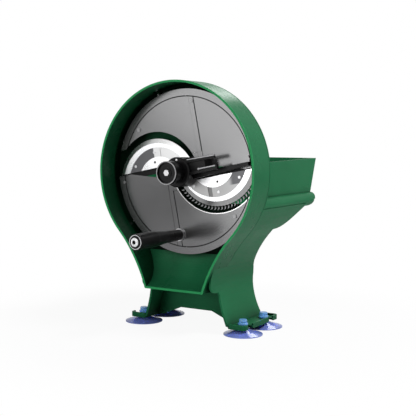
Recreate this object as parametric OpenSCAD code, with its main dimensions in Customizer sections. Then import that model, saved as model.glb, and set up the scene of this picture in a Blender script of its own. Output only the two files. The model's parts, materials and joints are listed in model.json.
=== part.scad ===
// Bean slicer with a crank: a keyhole shaped drum housing on splayed legs with suction cups,
// a slotted cutter disc with two serrated blades, and a feed trough behind it.
// The front rim is the origin of the machine's own depth, and the drawn model is centred on it.

/* [Drum housing] */
// Outer radius of the drum
drum_r = 130; // [120:1:140]
// Thickness of the moulded walls
wall = 3; // [2.4:0.2:4]
// Depth of the drum from the front rim to the back of its rear plate
drum_depth = 48; // [44:1:60]
// Thickness of the rear plate
plate_t = 3; // [2:0.5:4]
// Height of the crank axis above the table
axis_z = 230; // [220:1:245]
// Height of the chute's lip above the table
lip_z = 61; // [50:1:70]
// Half of the chute's width at the lip
lip_half = 49.2; // [42:0.5:54]
// Lean of the chute's side walls at the lip, in degrees
lip_lean = 17; // [8:1:24]
// Length of the upper control arm of the flank's curve
flank_pull_top = 30; // [20:1:40]
// Length of the lower control arm of the flank's curve
flank_pull_lip = 28; // [18:1:36]

/* [Legs and feet] */
// Half of the width over the legs at the foot
foot_half = 72; // [66:1:80]
// Height of the underside of the legs
leg_bottom = 12; // [11:0.5:16]
// Depth at which the legs start
leg_front = 30; // [26:1:36]
// Depth at which the legs end
leg_rear = 135; // [125:1:150]
// Reach of the foot flanges beyond the legs
flange_reach = 27; // [24:1:34]
// Thickness of the foot flanges
flange_t = 3; // [2:0.5:4]
// Height of the rim round the foot flanges
flange_rim_h = 7; // [5:0.5:8]
// Radius of a suction cup
cup_r = 28; // [24:0.5:29]
// Depth of the front pair of cups
cup_front_y = 50; // [46:1:56]
// Distance between the front and rear cups
cup_spacing = 61.5; // [59:0.5:70]

/* [Feed trough] */
// Distance of the trough's side walls inside the drum's radius
trough_inset = 20; // [17:1:30]
// Length of the trough's top edge behind the drum
trough_l = 192; // [170:1:215]
// Height of the trough's top edge above the crank axis
trough_over_axis = 17; // [10:1:24]
// Outer radius of the gutter along the trough's bottom edge
gutter_r = 10.5; // [9:0.5:13]
// Height of the gutter's middle below the crank axis
gutter_drop = 45.5; // [40:0.5:50]

/* [Cutter disc] */
// Gap between the cutter disc and the inside of the drum
disc_rim_gap = 7.8; // [4:0.2:12]
// Gap between the cutter disc and the rear plate
disc_back_gap = 8.8; // [8.4:0.2:12]
// Thickness of the disc's two plates
disc_t = 3.2; // [2.8:0.1:4]
// Turn of the disc in its rest position, in degrees
disc_turn = 11.2; // [0:0.2:20]
// Width of the disc's outer ring
ring_w = 10; // [8:0.5:12]
// Radius of the sickle shaped cut-out in each plate
sickle_r = 74.7; // [73.5:0.1:75.5]
// Radius of a blade without its teeth
blade_r = 68.3; // [66:0.1:69.5]
// Length of a tooth on the serrated blade's edge
tooth_l = 6; // [3:0.25:6.5]
// Number of teeth on the serrated blade
teeth = 24; // [16:1:30]
// Radius of the pin on which a flap turns
flap_pin_r = 0.8; // [0.6:0.05:0.9]

/* [Hub and crank] */
// Radius of the crank shaft
shaft_r = 5; // [4:0.25:6]
// Radius of the black hub
hub_r = 21.5; // [20:0.5:22]
// Radius of the hub knob
knob_r = 16.5; // [15:0.5:18]
// Length of the hub knob in front of the hub
knob_l = 25.5; // [23:0.5:32]
// Width of the hub's arm at its root
arm_w = 9; // [7:0.5:11]
// Depth of the hub's arm from front to back
arm_t = 10; // [8:0.5:12]
// Radius of the crank handle's grip
grip_r = 11.2; // [10:0.2:13]
// Length of the grip
grip_l = 105.9; // [90:0.1:120]
// Radius of the bolt that carries the grip
bolt_r = 3.5; // [3:0.1:4]
// Distance of the grip below the disc's centre line
grip_v = 88; // [80:1:92]
// Distance of the grip to the side of the disc's centre
grip_u = 27.5; // [26.5:0.5:29]

/* [Clearances] */
// Radial clearance between a shaft and its bore
run_gap = 0.05; // [0.03:0.01:0.09]
// Clearance between pieces that are fitted together
fit_gap = 0.15; // [0.1:0.05:0.3]
// Clearance between pieces that turn past each other
free_gap = 0.4; // [0.3:0.1:0.8]

/* [Hidden] */

// Smoothness of turned and straight parts
fine = 96;
small = 32;
// Overrun of every cut
over = 1;
big = 300;

// Flank of the keyhole: from the tangent point on the drum down to the lip
flank_start_turn = 43;
flank_steps = 12;
flank_p0 = [drum_r * cos(flank_start_turn), axis_z - drum_r * sin(flank_start_turn)];
flank_p3 = [lip_half, lip_z];
flank_points = [
    flank_p0,
    flank_p0 - flank_pull_top * [sin(flank_start_turn), cos(flank_start_turn)],
    flank_p3 + flank_pull_lip * [sin(lip_lean), cos(lip_lean)],
    flank_p3];

// Rear plate, bearing boss, feed windows and screw lugs
plate_y = drum_depth - plate_t;
plate_low_in = 4;
plate_low_z = axis_z - drum_r + plate_low_in;
boss_r = 15;
boss_l = 22;
boss_end_y = drum_depth + boss_l;
boss_rib_t = 3;
boss_rib_l = 46;
boss_rib_h = 12;
window_frame = 4;
window_floor = 7;
window_corner_r = 9;
lug_inset = 6.6;
lug_circle_r = drum_r - lug_inset;
lug_r = 4;
lug_h = 5;
lug_turns = [20, 65, 115, 160, -38, -142];
screw_r = 1.6;
screw_head_r = 3.2;
screw_head_h = 2;
screw_l = plate_t + lug_h;
slot_w = 0.9;
slot_depth = 0.8;

// Slide of the chute: its curve in shares of its run in depth and of its rise
slide_t = 3;
slide_low_in = 12;
slide_run = plate_y - fit_gap;
slide_rise = axis_z - drum_r + slide_low_in - lip_z;
slide_shares = [[0, 0], [0.45, 0.1], [0.89, 0.39], [1, 1]];
slide_points = [for (share = slide_shares) [share[0] * slide_run, lip_z + share[1] * slide_rise]];
slide_steps = 20;

// Feed trough
trough_half = drum_r - trough_inset;
trough_rear = drum_depth + trough_l;
trough_top_z = axis_z + trough_over_axis;
trough_dip = 3.3;
rear_lean_run = 23.5;
trough_rear_low = trough_rear - rear_lean_run;
gutter_z = axis_z - gutter_drop;
gutter_tuck = 0.5;
gutter_x = trough_half - gutter_tuck;
gutter_back = 13;
gutter_rear_y = trough_rear_low - gutter_back;
floor_drop = 8.5;
floor_low_z = gutter_z - floor_drop;
cover_r = 18;
cover_t = 2.4;
cover_l = 39;
cover_end_y = drum_depth + cover_l;
cover_round = 5;
window_side_x = cover_r + window_floor;
window_outer_x = trough_half - wall - window_frame;
window_low_z = floor_low_z + wall + window_floor;
window_top_z = trough_top_z - trough_dip - window_frame;

// Legs: the splay in width, and the front, rear and gusset edges in depth
leg_t = 3.1;
splay_from_step = 7;
splay_steps = 10;
splay_pull_top = 26;
splay_pull_foot = 20;
splay_lean = 22;
lobe_y = 7;
lobe_r = 12;
lobe_run = 28;
leg_notch_drop = 5;
leg_notch_z = lip_z - leg_notch_drop;
leg_foot_lean = 2;
leg_waist = 15;
cusp_drop = 40;
cusp_z = gutter_z - cusp_drop;
rear_low_shares = [[0, 0], [0.55, 0.2], [0.5, 0.36], [0.3, 0.485]];
rear_high_shares = [[0.3, 0.485], [0.233, 0.576], [1.167, 0.629], [1.1, 1]];
gusset_shares = [[0, 0], [0.46, 0], [0.49, 0.4], [1, 1]];
gusset_back = 17;
gusset_drop = 7.5;
edge_steps = 8;
gusset_top_turn = 23;
corner_steps = 5;

// Foot flanges and cups
flange_drop = 2;
flange_low_z = leg_bottom - flange_drop;
flange_inner_x = foot_half - leg_t;
flange_outer_x = foot_half + flange_reach;
flange_corner_r = 6;
flange_rim_t = 2.6;
flange_rim_drop = 1;
flange_rim_low_z = flange_low_z - flange_rim_drop;
cup_offset = 14.5;
cup_x = foot_half + cup_offset;
cup_neck_r = 5.6;
cup_slot_r = cup_neck_r + fit_gap;
cup_knob_r = 7.4;
cup_knob_waist_r = 5.4;
cup_knob_h = 8.5;
cup_dome_drop = 2;
cup_dome_z = flange_low_z - cup_dome_drop;
cup_edge_t = 1.3;
cup_cavity_h = 2.4;
cup_cavity_r = 24;
cup_shoulder_r = 10;
cup_cavity_share = 0.8;
cup_shelf_share = 2.2;
cup_collar_shares = [0.33, 0.5, 0.7];

// Apron between the legs
apron_y = 62;
apron_t = 3;
apron_rise = 39;
apron_top_z = lip_z + apron_rise;
arch_rise = 13;
arch_z = leg_bottom + arch_rise;
arch_inset = 45;
arch_half = foot_half - arch_inset;
arch_foot_inset = 14;
arch_foot_half = foot_half - arch_foot_inset;

// Bush, spacer, washer and nut on the shaft
bush_r = 9;
bush_flange_r = 12;
bush_flange_t = 3;
bush_over = 0.6;
bush_end_y = boss_end_y + bush_over;
spacer_r = 8.4;
shaft_end_gap = 4;
shaft_end_y = cover_end_y - shaft_end_gap;
washer_t = 1.5;
washer_over = 1;
nut_r = 8;
nut_t = 6;
rear_washer_gap = 0.3;
rear_washer_y = bush_end_y + rear_washer_gap;
rear_nut_y = rear_washer_y + washer_t;

// Disc, all in its own plane and drawn for one radius, which its layout follows
disc_y = plate_y - disc_back_gap - disc_t;
disc_r = drum_r - wall - disc_rim_gap;
drawn_disc_r = 119.2;
disc_share = disc_r / drawn_disc_r;
disc_back_y = disc_y + disc_t;
sickle_u = 51.4;
sickle_v = 7.3;
seam_lean = 15.3;
seam_gap = 13.1;
tip_v = 13;
ring_end_v = 51;
ring_end_u = 80;
ring_inner_r = disc_r - ring_w;
strip_in_u = 25.8;
strip_out_u = 33.6;
strip_h = 0.9;
strip_in_v = 24;
groove_w = 0.9;
groove_depth = 0.6;
flap_gap = 0.5;
flap_pin_u = 20;
flap_pin_y = disc_y + disc_t / 2;
flap_pin_rim = 4;
flap_pin_end_r = disc_r - flap_pin_rim;
flap_pin_in_v = 20.5;
pad_r = 7;
blade_t = disc_t;
blade_u = 52;
blade_v = 11;
blade_cut_v = 14.6;
blade_clip_gap = 0.6;
blade_edge_t = 0.9;
bevel_r = 61.7;
recess_r = 55.9;
recess_u = 48.4;
recess_v = 11.4;
recess_depth = 1;
notch_in_u = 32;
notch_out_u = 38.6;
notch_low_v = 41;
notch_top_v = 26;
notch_depth = 1.8;
clamp_r = 36.6;
clamp_u = 46.5;
clamp_v = 6.5;
clamp_hole_r = 1.8;
clamp_hole_v = 22.9;
clamp_hole_u = 50;
tooth_from_turn = -152;
tooth_to_turn = -46;
tooth_gap = 1.2;
tooth_shares = [[0, 0], [0.3, 0.3], [0.42, 0.55], [0.36, 0.78], [0.1, 1],
    [0.6, 0.84], [0.8, 0.55], [0.76, 0.3], [0.6, 0]];
rivet_r = 2;
rivet_h = 0.8;
rivet_u = [86, 49, 10];
rivet_v = [22.9, 37.5, 22.5];
plate_screw_r = 2.2;
plate_screw_h = 1;
plate_screw_v = 97;
plate_screw_u = 29.7;
end_screw_u = 110.5;
end_screw_v = 3.3;
flap_screw_u = 69;
flap_screw_v = 75.2;
flap_screw_r = 2.8;
flap_screw_h = 1.4;

// Spider behind the disc
spider_t = 2.2;
spider_back_y = disc_back_y + spider_t;
spider_r = 19;
spider_out_v = 20;
spider_in_v = 6;
spider_out_u = 114;
spider_in_u = 104;

// Hub bracket
hub_l = 24;
hub_y = disc_y - hub_l;
hub_chamfer = 1.6;
arm_top_v = 7;
arm_end_w = 5.8;
arm_end_u = 109;
hook_t = 3;
hook_in_u = 112.5;
hook_out_u = 114.5;
hook_end_u = 117.4;
hook_top_v = 1;
hook_shoulder_v = 4.5;
fork_l = 23;
fork_y = disc_y - fork_l;
fork_t = 5.5;
web_l = 20;
web_y = disc_y - web_l;
web_end_u = 50;
web_top_v = 4.6;
rail_root_v = 3.4;
rail_lean = 4.8;
rail_end_u = 65;
rail_h = 2.4;
prong_top_v = 5.8;
prong_end_u = 66.8;
prong_end_t = 2.3;
prong_lip_v = 2;
rod_r = 1.3;
rod_in_u = 23;
ball_r = 1.9;
ball_u = 34.5;
hub_screw_u = 4.1;
hub_screw_v = 17.2;
hub_screw_r = 1.4;
hub_screw_h = 0.6;
hub_screw_l = 6;
knob_front_y = hub_y - knob_l;
knob_gap = 11;
knob_neck_r = 13;
knob_back_y = hub_y - knob_gap;
knob_round = 2;
knob_recess_r = 14.4;
knob_recess_h = 2.5;
knob_floor_y = knob_front_y + knob_recess_h;
hub_ring_t = 1.3;
hub_ring_w = 1.2;
hub_nut_r = 4.6;
hub_nut_h = 2.2;
hub_boss_r = 7.2;
hub_boss_h = 1.1;
shaft_front_gap = 2;
shaft_front_y = knob_floor_y + shaft_front_gap;
shaft_flange_r = 8.6;

// Crank handle
handle_washer_r = 9;
handle_washer_t = 1.8;
grip_back_y = disc_y - strip_h - handle_washer_t - free_gap;
grip_front_y = grip_back_y - grip_l;
grip_root_l = 35;
grip_shoulder_l = 64;
grip_root_w = 3.2;
grip_waist_w = 2.4;
grip_end_round = 0.9;
grip_ring_out = 1.2;
grip_ring_w = 0.9;
grip_ring_h = 1.2;
bolt_head_r = 6.2;
bolt_head_h = 3;
bolt_head_round = 1.2;
bolt_recess_r = 2.7;
bolt_front_y = grip_front_y - bolt_head_h;
bolt_end_l = 6;
bolt_end_y = disc_back_y + bolt_end_l;
handle_nut_r = 6.2;
handle_nut_t = 5;

// The model's middle depth, which the drawn model is moved by
mid_y = (trough_rear + bolt_front_y) / 2;

green = "#2f6e48";
steel = "#c9ccd0";
grey = "#9a9a9c";
black = "#1b1b1d";
violet = "#8f9be0";

// Curves and directions
function bezier(p, t) = pow(1 - t, 3) * p[0] + 3 * pow(1 - t, 2) * t * p[1]
    + 3 * (1 - t) * pow(t, 2) * p[2] + pow(t, 3) * p[3];
function bezier_way(p, t) = pow(1 - t, 2) * (p[1] - p[0]) + 2 * (1 - t) * t * (p[2] - p[1])
    + pow(t, 2) * (p[3] - p[2]);
function inward(way) = [way[1], -way[0]] / norm(way);
function mirrored(points) = [for (i = [len(points) - 1:-1:0]) [-points[i][0], points[i][1]]];
function arc(centre, r, from, to, steps) = [for (i = [0:steps])
    let (turn = from + (to - from) * i / steps) centre + r * [cos(turn), sin(turn)]];

// The right flank from the drum to the lip, moved inward by an inset
function flank(inset) = [for (i = [0:flank_steps])
    let (t = i / flank_steps)
    bezier(flank_points, t) + inset * inward(bezier_way(flank_points, t))];

// Extrusions along the machine's depth and width, from drawings in width and height or depth and height
module along_y(y0, y1) {
    translate([0, y1, 0]) rotate([90, 0, 0]) linear_extrude(y1 - y0) children();
}

module along_x(x0, x1) {
    translate([x0, 0, 0]) rotate([90, 0, 90]) linear_extrude(x1 - x0) children();
}

module pin_y(r, y0, y1, sides = fine) {
    translate([0, y1, 0]) rotate([90, 0, 0]) cylinder(r = r, h = y1 - y0, $fn = sides);
}

module cone_y(r0, r1, y0, y1) {
    translate([0, y1, 0]) rotate([90, 0, 0]) cylinder(r1 = r1, r2 = r0, h = y1 - y0, $fn = fine);
}

module placed() {
    translate([0, -mid_y, 0]) children();
}

// A place on the crank axis, and the disc's own plane with its turn
module on_axis() {
    placed() translate([0, 0, axis_z]) children();
}

module on_disc() {
    on_axis() rotate([0, -disc_turn, 0]) children();
}

// The half turn that takes each upper piece of the disc to its lower twin
module twin() {
    rotate([0, 180, 0]) children();
}

module at_disc(u, v) {
    translate([u * disc_share, 0, v * disc_share]) children();
}

// A flat drawing in the disc's plane, between two depths
module disc_slab(y0, y1) {
    along_y(y0, y1) scale(disc_share) children();
}

// Drum housing
module funnel(inset, low_z) {
    right = flank(inset);
    low = [right[flank_steps][0], low_z];
    polygon(concat([[0, axis_z]], right, [low], mirrored(concat(right, [low]))));
}

module keyhole(inset, low_z) {
    translate([0, axis_z]) circle(r = drum_r - inset, $fn = fine);
    funnel(inset, low_z);
}

module drum_ring(y0, y1) {
    difference() {
        along_y(y0, y1) keyhole(0, lip_z);
        along_y(y0 - over, y1 + over) keyhole(wall, lip_z - over);
    }
}

module lugs_at() {
    for (turn = lug_turns)
        translate([lug_circle_r * cos(turn), 0, axis_z + lug_circle_r * sin(turn)]) children();
}

module drum_shell() {
    color(green) placed() difference() {
        union() {
            drum_ring(0, plate_y);
            lugs_at() difference() {
                pin_y(lug_r, plate_y - lug_h, plate_y, small);
                pin_y(screw_r, plate_y - lug_h - over, plate_y + over, small);
            }
        }
    }
}

module soft_square(x0, z0, x1, z1, r) {
    translate([x0 + r, z0]) square([x1 - x0 - 2 * r, z1 - z0]);
    translate([x0, z0 + r]) square([x1 - x0, z1 - z0 - 2 * r]);
    for (x = [x0 + r, x1 - r], z = [z0 + r, z1 - r])
        translate([x, z]) circle(r = r, $fn = small);
}

module rear_housing() {
    color(green) placed() difference() {
        union() {
            intersection() {
                along_y(plate_y, drum_depth) keyhole(0, lip_z);
                translate([-big, 0, plate_low_z]) cube(big * 2);
            }
            translate([0, 0, axis_z]) pin_y(boss_r, plate_y, boss_end_y);
            for (side = [0, 180])
                translate([0, 0, axis_z]) rotate([0, side, 0])
                    translate([-boss_rib_t / 2, plate_y, 0]) cube([boss_rib_t, plate_t + boss_rib_h, boss_rib_l]);
        }
        translate([0, 0, axis_z]) pin_y(bush_r, plate_y - over, boss_end_y + over);
        for (side = [0, 1])
            mirror([side, 0, 0]) along_y(plate_y - over, drum_depth + over)
                soft_square(window_side_x, window_low_z, window_outer_x, window_top_z, window_corner_r);
        lugs_at() pin_y(screw_r + fit_gap, plate_y - over, drum_depth + over, small);
    }
}

module screw_slot(r, y) {
    translate([-r, y, -slot_w / 2]) cube([2 * r, slot_depth, slot_w]);
}

module housing_screws() {
    color(steel) placed() lugs_at() difference() {
        union() {
            pin_y(screw_r - fit_gap, drum_depth - screw_l, drum_depth + fit_gap, small);
            pin_y(screw_head_r, drum_depth, drum_depth + screw_head_h, small);
        }
        screw_slot(screw_head_r + over, drum_depth + screw_head_h - slot_depth);
    }
}

// Slide from behind the disc down to the lip
module slide_profile() {
    top = [for (i = [0:slide_steps]) bezier(slide_points, i / slide_steps)];
    under = [for (i = [slide_steps:-1:0])
        let (way = bezier_way(slide_points, i / slide_steps))
        bezier(slide_points, i / slide_steps) + slide_t * [-way[1], way[0]] / norm(way)];
    polygon(concat([for (p = under) [max(p[0], 0), p[1]]], [for (p = top) [max(p[0], 0), p[1]]]));
}

module chute_slide() {
    color(green) placed() intersection() {
        along_x(-drum_r, drum_r) slide_profile();
        along_y(0, plate_y - fit_gap) funnel(wall + fit_gap, lip_z);
    }
}

// Legs: the outline in width and height, and the outline in depth and height
function splay(inset) =
    let (start = bezier(flank_points, splay_from_step / flank_steps),
        way = bezier_way(flank_points, splay_from_step / flank_steps),
        foot = [foot_half, leg_bottom],
        points = [start, start + splay_pull_top * way / norm(way),
            foot + splay_pull_foot * [-sin(splay_lean), cos(splay_lean)], foot])
    [for (i = [1:splay_steps])
        bezier(points, i / splay_steps) + inset * inward(bezier_way(points, i / splay_steps))];

function leg_side(inset) = concat(
    arc([0, axis_z], drum_r - inset, -gusset_top_turn, -flank_start_turn, corner_steps),
    [for (i = [1:splay_from_step]) flank(inset)[i]],
    splay(inset));

module leg_width() {
    outer = leg_side(0);
    inner = leg_side(leg_t);
    polygon(concat(outer, [for (i = [len(inner) - 1:-1:0]) inner[i]]));
}

// Points given in shares of a run and of a rise from a starting place, joined by a smooth curve
function shared_curve(place, run, rise, shares) =
    let (points = [for (share = shares) place + [run * share[0], rise * share[1]]])
    [for (i = [0:edge_steps]) bezier(points, i / edge_steps)];

module leg_depth() {
    lobe = arc([lobe_y + lobe_r, lip_z + lobe_r], lobe_r, 180, 270, corner_steps);
    rear_rise = cusp_z - leg_bottom;
    rear_low = shared_curve([leg_rear, leg_bottom], -leg_waist, rear_rise, rear_low_shares);
    rear_high = shared_curve([leg_rear, leg_bottom], -leg_waist, rear_rise, rear_high_shares);
    cusp = rear_high[edge_steps];
    gusset_end = [gutter_rear_y - gusset_back, gutter_z - gusset_drop];
    gusset = shared_curve(cusp, gusset_end[0] - cusp[0], gusset_end[1] - cusp[1], gusset_shares);
    polygon(concat(
        [[lobe_y, axis_z]], lobe,
        [[lobe_run, lip_z], [leg_front, leg_notch_z], [leg_front + leg_foot_lean, leg_bottom]],
        rear_low, [for (i = [1:edge_steps]) rear_high[i]], [for (i = [1:edge_steps]) gusset[i]],
        [[gusset_end[0], axis_z]]));
}

module trough_envelope() {
    along_y(drum_depth - over, big) {
        for (side = [-1, 1]) translate([side * gutter_x, gutter_z]) circle(r = gutter_r, $fn = fine);
        translate([-big / 2, gutter_z]) square([big, big / 2]);
        translate([-trough_half, floor_low_z]) square([2 * trough_half, big / 2]);
    }
}

module flange_outline(inset) {
    soft_square(flange_inner_x + inset, leg_front + leg_foot_lean + inset, flange_outer_x - inset,
        leg_rear - inset, flange_corner_r - inset);
}

module cup_slots(r) {
    for (y = [cup_front_y, cup_front_y + cup_spacing]) {
        translate([cup_x, y]) circle(r = r, $fn = small);
        translate([cup_x, y - r]) square([big, 2 * r]);
    }
}

module foot_flange() {
    translate([0, 0, flange_low_z]) linear_extrude(flange_t) difference() {
        flange_outline(0);
        cup_slots(cup_slot_r);
    }
    translate([0, 0, flange_rim_low_z]) linear_extrude(flange_rim_h) difference() {
        flange_outline(0);
        flange_outline(flange_rim_t);
        cup_slots(cup_slot_r + cup_knob_r - cup_neck_r);
        translate([-big, -big]) square([big + foot_half, 2 * big]);
    }
}

module leg() {
    difference() {
        intersection() {
            along_y(0, trough_rear) leg_width();
            along_x(0, drum_r) leg_depth();
        }
        along_y(-over, drum_depth) keyhole(0, lip_z);
        trough_envelope();
    }
    foot_flange();
}

module right_leg() {
    color(green) placed() leg();
}

module left_leg() {
    color(green) placed() mirror([1, 0, 0]) leg();
}

module base_apron() {
    inner = leg_side(leg_t + fit_gap);
    first = corner_steps + 1;
    side = [for (i = [first:len(inner) - 1]) inner[i]];
    arch = [[arch_foot_half, leg_bottom], [arch_half, arch_z]];
    color(green) placed() intersection() {
        along_y(apron_y, apron_y + apron_t) polygon(concat(side, arch, mirrored(concat(side, arch))));
        translate([-big, 0, 0]) cube([2 * big, big, apron_top_z]);
    }
}

// Feed trough: a tub with a gutter along its bottom edges, open at its top and to the feed windows
module trough_width(inset, top_z) {
    for (side = [-1, 1]) translate([side * gutter_x, gutter_z]) circle(r = gutter_r - inset, $fn = fine);
    translate([-trough_half + inset, floor_low_z + inset])
        square([2 * (trough_half - inset), top_z - floor_low_z - inset]);
}

module trough_depth(inset, y0, dip, top_z) {
    low_z = gutter_z - gutter_r - over;
    lean_run = rear_lean_run * (top_z - gutter_z) / (trough_top_z - gutter_z);
    rear = trough_rear_low - inset;
    translate([gutter_rear_y, gutter_z]) circle(r = gutter_r - inset, $fn = fine);
    polygon([[y0, low_z], [gutter_rear_y, low_z], [gutter_rear_y, gutter_z],
        [rear, gutter_z], [rear + lean_run, top_z], [y0, top_z - dip]]);
}

module trough_solid(inset, y0, dip, top_z) {
    intersection() {
        along_y(y0, big) trough_width(inset, top_z);
        along_x(-drum_r, drum_r) trough_depth(inset, y0, dip, top_z);
    }
}

module feed_trough() {
    color(green) placed() difference() {
        trough_solid(0, drum_depth, trough_dip, trough_top_z);
        trough_solid(wall, drum_depth - over, 0, trough_top_z + over);
    }
}

module shaft_cover() {
    color(green) on_axis() difference() {
        rotate([90, 0, 0]) rotate_extrude($fn = fine) polygon(concat(
            [[0, -cover_end_y], [0, -drum_depth], [cover_r, -drum_depth]],
            [for (p = arc([cover_r - cover_round, -cover_end_y + cover_round], cover_round, 0, -90, corner_steps)) p]));
        pin_y(boss_r + fit_gap, drum_depth - over, cover_end_y - cover_t);
        for (side = [0, 180]) rotate([0, side, 0])
            translate([-boss_rib_t / 2 - fit_gap, drum_depth - over, 0])
                cube([boss_rib_t + 2 * fit_gap, boss_rib_h + over + fit_gap, boss_rib_l]);
    }
}

module shaft_bush() {
    color("#e8e4d8") on_axis() difference() {
        union() {
            pin_y(bush_r - run_gap, plate_y - over / 2, bush_end_y);
            pin_y(bush_flange_r, plate_y - bush_flange_t, plate_y);
        }
        pin_y(shaft_r + run_gap, plate_y - bush_flange_t - over, bush_end_y + over);
    }
}

// Suction cup with the knob that holds it in its slot
module cup() {
    knob_low = flange_low_z + flange_t + fit_gap;
    neck_low = flange_low_z - fit_gap;
    rotate_extrude($fn = fine) polygon([
        [0, cup_cavity_h], [cup_cavity_r / 2, cup_cavity_h * cup_cavity_share], [cup_cavity_r, 0], [cup_r, 0],
        [cup_r, cup_edge_t], [cup_cavity_r - cup_edge_t, cup_edge_t * cup_shelf_share],
        [cup_shoulder_r, cup_dome_z - cup_edge_t],
        [cup_shoulder_r - cup_edge_t, cup_dome_z], [cup_neck_r + cup_edge_t, neck_low], [cup_neck_r, neck_low],
        [cup_neck_r, knob_low], [cup_knob_r - cup_edge_t, knob_low], [cup_knob_r, knob_low + cup_edge_t],
        [cup_knob_r, knob_low + cup_knob_h * cup_collar_shares[0]],
        [cup_knob_waist_r, knob_low + cup_knob_h * cup_collar_shares[1]],
        [cup_knob_r - cup_edge_t, knob_low + cup_knob_h * cup_collar_shares[2]],
        [cup_knob_waist_r, knob_low + cup_knob_h], [0, knob_low + cup_knob_h]]);
}

module cup_at(side, y) {
    color(violet) placed() translate([side * cup_x, y, 0]) cup();
}

module front_left_cup() { cup_at(-1, cup_front_y); }
module front_right_cup() { cup_at(1, cup_front_y); }
module rear_left_cup() { cup_at(-1, cup_front_y + cup_spacing); }
module rear_right_cup() { cup_at(1, cup_front_y + cup_spacing); }

// Shaft with its spacer, washer and nut
module crank_shaft() {
    color(steel) on_axis() {
        pin_y(shaft_r, shaft_front_y, shaft_end_y);
        pin_y(shaft_flange_r, disc_y, disc_back_y);
    }
}

module shaft_spacer() {
    color(steel) on_axis() difference() {
        pin_y(spacer_r, spider_back_y, plate_y - bush_flange_t - free_gap);
        pin_y(shaft_r + run_gap, disc_y, plate_y);
    }
}

module rear_washer() {
    color(steel) on_axis() difference() {
        pin_y(nut_r + washer_over, rear_washer_y, rear_washer_y + washer_t);
        pin_y(shaft_r + run_gap, rear_washer_y - over, rear_nut_y + over);
    }
}

module rear_nut() {
    color(steel) on_axis() difference() {
        pin_y(nut_r, rear_nut_y, rear_nut_y + nut_t, 6);
        pin_y(shaft_r + run_gap, rear_nut_y - over, rear_nut_y + nut_t + over);
    }
}

// Spider that carries the plates and the blades from behind: a frame with two long bars
module disc_spider() {
    color(black) on_disc() difference() {
        union() {
            pin_y(spider_r, disc_back_y, spider_back_y);
            disc_slab(disc_back_y, spider_back_y) difference() {
                square([2 * spider_out_u, 2 * spider_out_v], center = true);
                square([2 * spider_in_u, 2 * spider_in_v], center = true);
            }
        }
        pin_y(shaft_r + run_gap, disc_y, drum_depth);
        end_screws_at() pin_y(plate_screw_r / 2 + fit_gap, disc_y, drum_depth, small);
    }
}

module end_screws_at() {
    for (side = [0, 180]) rotate([0, side, 0]) at_disc(end_screw_u, -end_screw_v) children();
}

// Hub bracket: the hub, the arm with its hooked end, and the fork beside it
module arm_outline() {
    polygon([[0, -arm_top_v - arm_w], [arm_end_u, -arm_top_v - arm_end_w], [arm_end_u, -arm_top_v], [0, -arm_top_v]]);
}

module hook_outline() {
    root_u = arm_end_u - over;
    low_v = -arm_top_v - arm_end_w;
    polygon([[root_u, low_v], [hook_end_u, low_v], [hook_end_u, -hook_shoulder_v], [hook_out_u, hook_top_v],
        [hook_in_u, hook_top_v], [root_u, -arm_top_v]]);
}

module on_rail() {
    translate([0, 0, rail_root_v * disc_share]) rotate([0, -rail_lean, 0]) children();
}

module hub_bracket() {
    color(black) on_disc() difference() {
        union() {
            pin_y(hub_r, hub_y + hub_chamfer, disc_y);
            cone_y(hub_r - hub_chamfer, hub_r, hub_y, hub_y + hub_chamfer);
            disc_slab(disc_y - arm_t, disc_y) arm_outline();
            disc_slab(disc_y - hook_t, disc_y) hook_outline();
            disc_slab(web_y, disc_y) polygon([[0, -arm_top_v - over], [web_end_u, -arm_top_v - over],
                [web_end_u, web_top_v], [0, rail_root_v - over]]);
            on_rail() disc_slab(fork_y, fork_y + fork_t) translate([0, -rail_h]) square([rail_end_u, rail_h]);
            disc_slab(fork_y, fork_y + fork_t) translate([0, -arm_top_v - over])
                square([prong_end_u, arm_top_v + over - prong_top_v]);
            disc_slab(fork_y, fork_y + fork_t) translate([prong_end_u - prong_end_t, -arm_top_v - over])
                square([prong_end_t, arm_top_v + over - prong_lip_v]);
        }
        pin_y(shaft_r + run_gap, hub_y - over, disc_y + over);
        at_disc(end_screw_u, -end_screw_v) pin_y(plate_screw_r / 2 + fit_gap, disc_y - hook_t - over, disc_y + over, small);
        at_disc(hub_screw_u, hub_screw_v) pin_y(hub_screw_r / 2 + fit_gap, hub_y - over, hub_y + hub_screw_l + over, small);
    }
}

module hub_screw() {
    color(steel) on_disc() at_disc(hub_screw_u, hub_screw_v) {
        pin_y(hub_screw_r, hub_y - hub_screw_h, hub_y, small);
        pin_y(hub_screw_r / 2, hub_y - hub_screw_h / 2, hub_y + hub_screw_l, small);
    }
}

// Steel rods of the fork: one along the rail, and one with a ball along the lower prong
module fork_rods() {
    lower_v = ball_r / disc_share - prong_top_v;
    lower_l = (prong_end_u - prong_end_t - ball_u) * disc_share;
    ball = arc([0, 0], ball_r, -90, acos(rod_r / ball_r), flank_steps);
    color(steel) on_disc() {
        on_rail() translate([rod_in_u * disc_share, fork_y + fork_t / 2, rod_r + run_gap]) rotate([0, 90, 0])
            cylinder(r = rod_r, h = (rail_end_u - rod_in_u) * disc_share, $fn = small);
        at_disc(ball_u, lower_v) translate([0, web_y - ball_r, 0]) rotate([0, 90, 0])
            rotate_extrude($fn = small) polygon(concat(ball, [[rod_r, lower_l], [0, lower_l]]));
    }
}

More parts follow.
